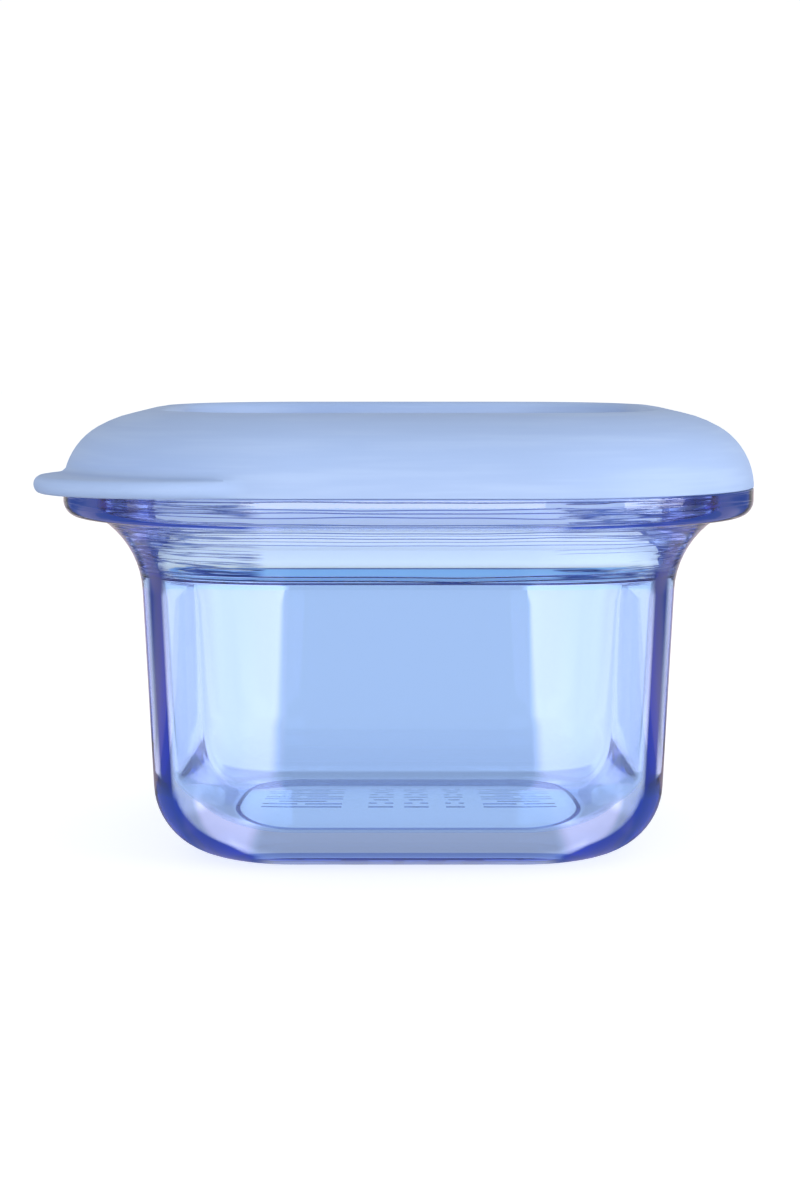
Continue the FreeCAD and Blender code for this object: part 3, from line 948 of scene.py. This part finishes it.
print("the sunk top ends", SUNK_WITHIN[0], "mm out, and the plug's outside starts at",
      PLUG_FROM[0])

# %% Soft blue plastic
SATIN = 0.5
GRAIN_SCALE = 3000
GRAIN_DETAIL = 2.0
GRAIN_STRENGTH = 0.25
GRAIN_DEPTH = 0.02
LIT_FROM, LIT_TO = 40.8, 42.5
LIT_LOW, LIT_HIGH = 1.05, 1.9


def soft_blue_plastic():
    material, nodes, links = new_material("soft_blue_plastic")
    shader = nodes["Principled BSDF"]
    shader.inputs["Roughness"].default_value = SATIN
    place = nodes.new("ShaderNodeTexCoord").outputs["Object"]
    path = nodes.new("ShaderNodeLightPath")
    w, z, _ = section_place(nodes, links, place)
    below = ramp_in_mm(nodes, links, z, BELOW_RIM)
    outside = ramp_in_mm(nodes, links, w, PLUG_FROM)
    lit = product(nodes, links, below, inverse(nodes, links, path.outputs["Is Camera Ray"]))
    links.new(lid_colour(nodes, links, place, w, z, lit, outside), shader.inputs["Base Color"])
    grain = nodes.new("ShaderNodeTexNoise")
    grain.inputs["Scale"].default_value = GRAIN_SCALE
    grain.inputs["Detail"].default_value = GRAIN_DETAIL
    links.new(place, grain.inputs["Vector"])
    add_bump(nodes, links, shader, grain.outputs["Fac"], GRAIN_STRENGTH, GRAIN_DEPTH)
    # Painted light: the plug and the hollow glow for the rays that come through the tub.
    level = ramp_between(nodes, links, z, LIT_FROM * MM, LIT_TO * MM, LIT_LOW, LIT_HIGH)
    links.new(product(nodes, links, below, path.outputs["Is Transmission Ray"], level),
              shader.inputs["Emission Strength"])
    links.new(tint_over(nodes, links, HOLLOW_GLOW, PLUG_GLOW, outside),
              shader.inputs["Emission Color"])
    return material


soft_blue = soft_blue_plastic()
print("soft_blue_plastic has", len(soft_blue.node_tree.nodes), "nodes")

# %% [markdown]
# ## Dressing the pieces
#
# Each piece gets its plastic, rides on its own body, and stands for the solid that it was drawn
# over. The lid's body slides up off the tub's, so the lid and its tab move as one.

# %% Dressing
def dress(piece, material, body, node):
    piece.data.materials.clear()
    piece.data.materials.append(material)
    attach(piece, body)
    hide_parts(node)
    print(piece.name, "is dressed in", material.name)


dress(tub, clear_blue, "tub", "tub")
dress(lid, soft_blue, "lid", "lid")

# %% [markdown]
# ## What clear plastic shows
#
# A clear object looks like what stands behind it. In a studio that is a set of cards: a plain
# middle, brighter cards at both sides, and dark gaps in the corners that draw the outline. Here
# the cards are a pattern on the floor and in the world, which only rays through or off the pot
# meet. The eye itself sees a plain white floor. The cards' inner edges spread a little with
# distance.

# %% Cards
CENTRE_HALF = 18.3 * MM
CENTRE_SPREAD = 0.0573
CENTRE_EDGE = 1.5 * MM
CARD_WHITE = 1.75
CARD_FALL = [(0.0, 1.0), (0.21, 1.0), (0.36, 0.88), (0.47, 0.70), (0.58, 0.36), (0.84, 0.17)]
FLOOR_CARDS = {"half": CENTRE_HALF, "edge": CENTRE_EDGE, "near": 30 * MM, "far": 60 * MM,
               "corner": 26 * MM}
WORLD_CARDS = {"half": 0.0, "edge": 0.005, "near": 0.1, "far": 0.2, "corner": 0.0}


def off_axes(nodes, links, place):
    """How far a point lies to the side and to the back, without their signs."""
    parts = nodes.new("ShaderNodeSeparateXYZ")
    links.new(place, parts.inputs["Vector"])
    return [maths(nodes, links, "ABSOLUTE", parts.outputs[name]) for name in ("X", "Y")]


def cards_behind(nodes, links, place, half, edge, near, far, corner):
    """What clear plastic shows: a plain middle, bright cards beside it, and dark corners."""
    across = off_axes(nodes, links, place)
    low = maths(nodes, links, "MINIMUM", *across)
    high = maths(nodes, links, "MAXIMUM", *across)
    from_middle = maths(nodes, links, "SUBTRACT", low,
                        product(nodes, links, high, CENTRE_SPREAD))
    middle = ramp_between(nodes, links, from_middle, half - edge, half + edge, 1.0, CARD_WHITE)
    aside = nodes.new("ShaderNodeValToRGB")
    ramp = aside.color_ramp
    while len(ramp.elements) < len(CARD_FALL):
        ramp.elements.new(MIDDLE_VALUE)
    for element, (place_on_ramp, level) in zip(ramp.elements, CARD_FALL):
        element.position = place_on_ramp
        element.color = (level, level, level, 1)
    past = maths(nodes, links, "SUBTRACT", low, corner)
    links.new(maths(nodes, links, "DIVIDE", past, high), aside.inputs["Fac"])
    away = ramp_between(nodes, links, high, near, far)
    fall = blend_numbers(nodes, links, away, 1.0, aside.outputs["Color"])
    return product(nodes, links, middle, fall)


print("the cards start", round(CENTRE_HALF / MM, 1), "mm from the middle at", CARD_WHITE)

# %% [markdown]
# ## Near the foot
#
# Two painted things dim the floor close to the pot. The foot's shadow is a painted ring that
# follows its square outline. And a glossy face that looks down at the floor sees the pot's own
# surroundings there and not a bright card, so what is reflected off the outside is painted
# dimmer than what comes through.

# %% Shade and reflection near the foot
# the painted shadow ring under the foot, and the painted dimming of reflections near it
SHADE_HALF = 26.5
SHADE_WIDE = 3.0
SHADE_SOFT = 3.0
SHADE_LEVEL = 0.66
REFLECTED_NEAR, REFLECTED_FAR = 0.25, 0.4
REFLECTED_FROM, REFLECTED_TO = 60, 150


def painted_foot_shadow(nodes, links, place):
    """The painted shadow under the foot: a ring on the floor that follows the pot's square outline.
    """
    outline = maths(nodes, links, "MAXIMUM", *off_axes(nodes, links, place))
    from_ring = maths(nodes, links, "SUBTRACT", outline, SHADE_HALF * MM)
    return ramp_between(nodes, links, maths(nodes, links, "ABSOLUTE", from_ring),
                        SHADE_WIDE * MM, (SHADE_WIDE + SHADE_SOFT) * MM, SHADE_LEVEL, 1.0)


def painted_near_reflection(nodes, links, place, through):
    """The painted level of a reflection off the outside, and 1 for rays that come through."""
    away = nodes.new("ShaderNodeVectorMath")
    away.operation = "LENGTH"
    links.new(place, away.inputs[0])
    level = ramp_between(nodes, links, away.outputs["Value"], REFLECTED_FROM * MM,
                         REFLECTED_TO * MM, REFLECTED_NEAR, REFLECTED_FAR)
    return blend_numbers(nodes, links, through, level, 1.0)


print("the foot shades a ring", 2 * SHADE_WIDE, "mm wide")

# %% [markdown]
# ## The floor
#
# A plain pale floor keeps the pot's soft shadow. It is lifted to white for the eye alone, by
# the Light Path node, so no extra light falls on the pot.

# %% The floor
FLOOR_SIZE = 6.0
FLOOR_BELOW = -0.05
FLOOR_PALE = (0.8, 0.8, 0.8, 1)
FLOOR_ROUGH = 0.9
FLOOR_LIFT = 0.6
WHITE = (1, 1, 1, 1)
CENTRE_COLOUR = (1.01, 1.01, 1.03, 1)
CARD_COLOUR = (1.10, 0.95, 1.0, 1)
CARD_TINT = (1.05, 1.6)


def floor_material():
    material, nodes, links = new_material("studio_floor")
    shader = nodes["Principled BSDF"]
    shader.inputs["Base Color"].default_value = FLOOR_PALE
    shader.inputs["Roughness"].default_value = FLOOR_ROUGH
    shader.inputs["Emission Color"].default_value = WHITE
    path = nodes.new("ShaderNodeLightPath")
    through, glossy = path.outputs["Is Transmission Ray"], path.outputs["Is Glossy Ray"]
    links.new(product(nodes, links, path.outputs["Is Camera Ray"], FLOOR_LIFT),
              shader.inputs["Emission Strength"])
    place = nodes.new("ShaderNodeTexCoord").outputs["Object"]
    level = cards_behind(nodes, links, place, **FLOOR_CARDS)
    cards = nodes.new("ShaderNodeEmission")
    links.new(tint_over(nodes, links, CENTRE_COLOUR, CARD_COLOUR,
                        ramp_between(nodes, links, level, *CARD_TINT)), cards.inputs["Color"])
    links.new(product(nodes, links, level, painted_foot_shadow(nodes, links, place),
                      painted_near_reflection(nodes, links, place, through)), cards.inputs["Strength"])
    mix = nodes.new("ShaderNodeMixShader")
    links.new(maths(nodes, links, "MAXIMUM", through, glossy), mix.inputs["Fac"])
    links.new(shader.outputs["BSDF"], mix.inputs[1])
    links.new(cards.outputs["Emission"], mix.inputs[2])
    links.new(mix.outputs["Shader"], nodes["Material Output"].inputs["Surface"])
    return material


deselect_objects()
bpy.ops.mesh.primitive_plane_add(size=FLOOR_SIZE, location=(0, 0, FLOOR_BELOW * MM))
floor = bpy.context.object
floor.name = "studio_floor"
floor.data.materials.append(floor_material())
print("the floor is", FLOOR_SIZE, "m across")

# %% [markdown]
# ## The world
#
# The world fills the rest of the studio. The eye sees it white, rays through the plastic see
# its cards, and all other light from it is dim and even.

# %% The world
WORLD_COLOUR = (0.96, 0.985, 1, 1)
WORLD_DIM, WORLD_SEEN = 0.58, 1.05

world = bpy.data.worlds.new("studio")
bpy.context.scene.world = world
world.use_nodes = True
nodes, links = world.node_tree.nodes, world.node_tree.links
background = nodes["Background"]
background.inputs["Color"].default_value = WORLD_COLOUR
path = nodes.new("ShaderNodeLightPath")
generated = nodes.new("ShaderNodeTexCoord").outputs["Generated"]
plain = blend_numbers(nodes, links, path.outputs["Is Camera Ray"], WORLD_DIM, WORLD_SEEN)
cards = cards_behind(nodes, links, generated, **WORLD_CARDS)
links.new(blend_numbers(nodes, links, path.outputs["Is Transmission Ray"], plain, cards),
          background.inputs["Strength"])
print("the world has", len(nodes), "nodes")

# %% [markdown]
# ## The lamps
#
# Three wide lamps stand in front and at both sides, a little above the lid. They are large, so
# the satin lid has soft, broad light and no hard spots, and weak enough for a colour to come
# out about as it is written. Rays that come through the clear tub don't meet them, but its
# faces can mirror them.

# %% Lamps
LAMPS = [
    ("front_lamp", (-0.1, -0.8, 0.1), (0, 0, 0.03), (0.5, 0.3), 2.2),
    ("side_lamp", (0.6, -0.3, 0.14), (0, 0, 0.03), (0.4, 0.3), 2.2),
    ("left_lamp", (-0.6, -0.25, 0.12), (0, 0, 0.04), (0.4, 0.3), 0.5),
]


def soft_lamp(name, place, aim, size, power):
    bpy.ops.object.light_add(type="AREA", location=place)
    lamp = bpy.context.object
    lamp.name = name
    lamp.data.shape = "RECTANGLE"
    lamp.data.size, lamp.data.size_y = size
    lamp.data.energy = power
    lamp.rotation_euler = (Vector(aim) - Vector(place)).to_track_quat("-Z", "Y").to_euler()
    lamp.visible_camera = False
    lamp.visible_transmission = False


for lamp in LAMPS:
    soft_lamp(*lamp)
print(len(LAMPS), "lamps of", [lamp[-1] for lamp in LAMPS], "W")

# %% [markdown]
# ## Enough bounces for thick plastic
#
# Light may turn inside a thick rim many times before it leaves. Each turn is one bounce, and
# inner reflections count as glossy ones, so all three limits go up together. With fewer, the
# rim and the corners end in black.

# %% View and bounces
MANY_BOUNCES = 40
scene = bpy.context.scene
scene.view_settings.view_transform = "Standard"
scene.cycles.max_bounces = MANY_BOUNCES
scene.cycles.transmission_bounces = MANY_BOUNCES
scene.cycles.glossy_bounces = MANY_BOUNCES
print("light may bounce", scene.cycles.max_bounces, "times")
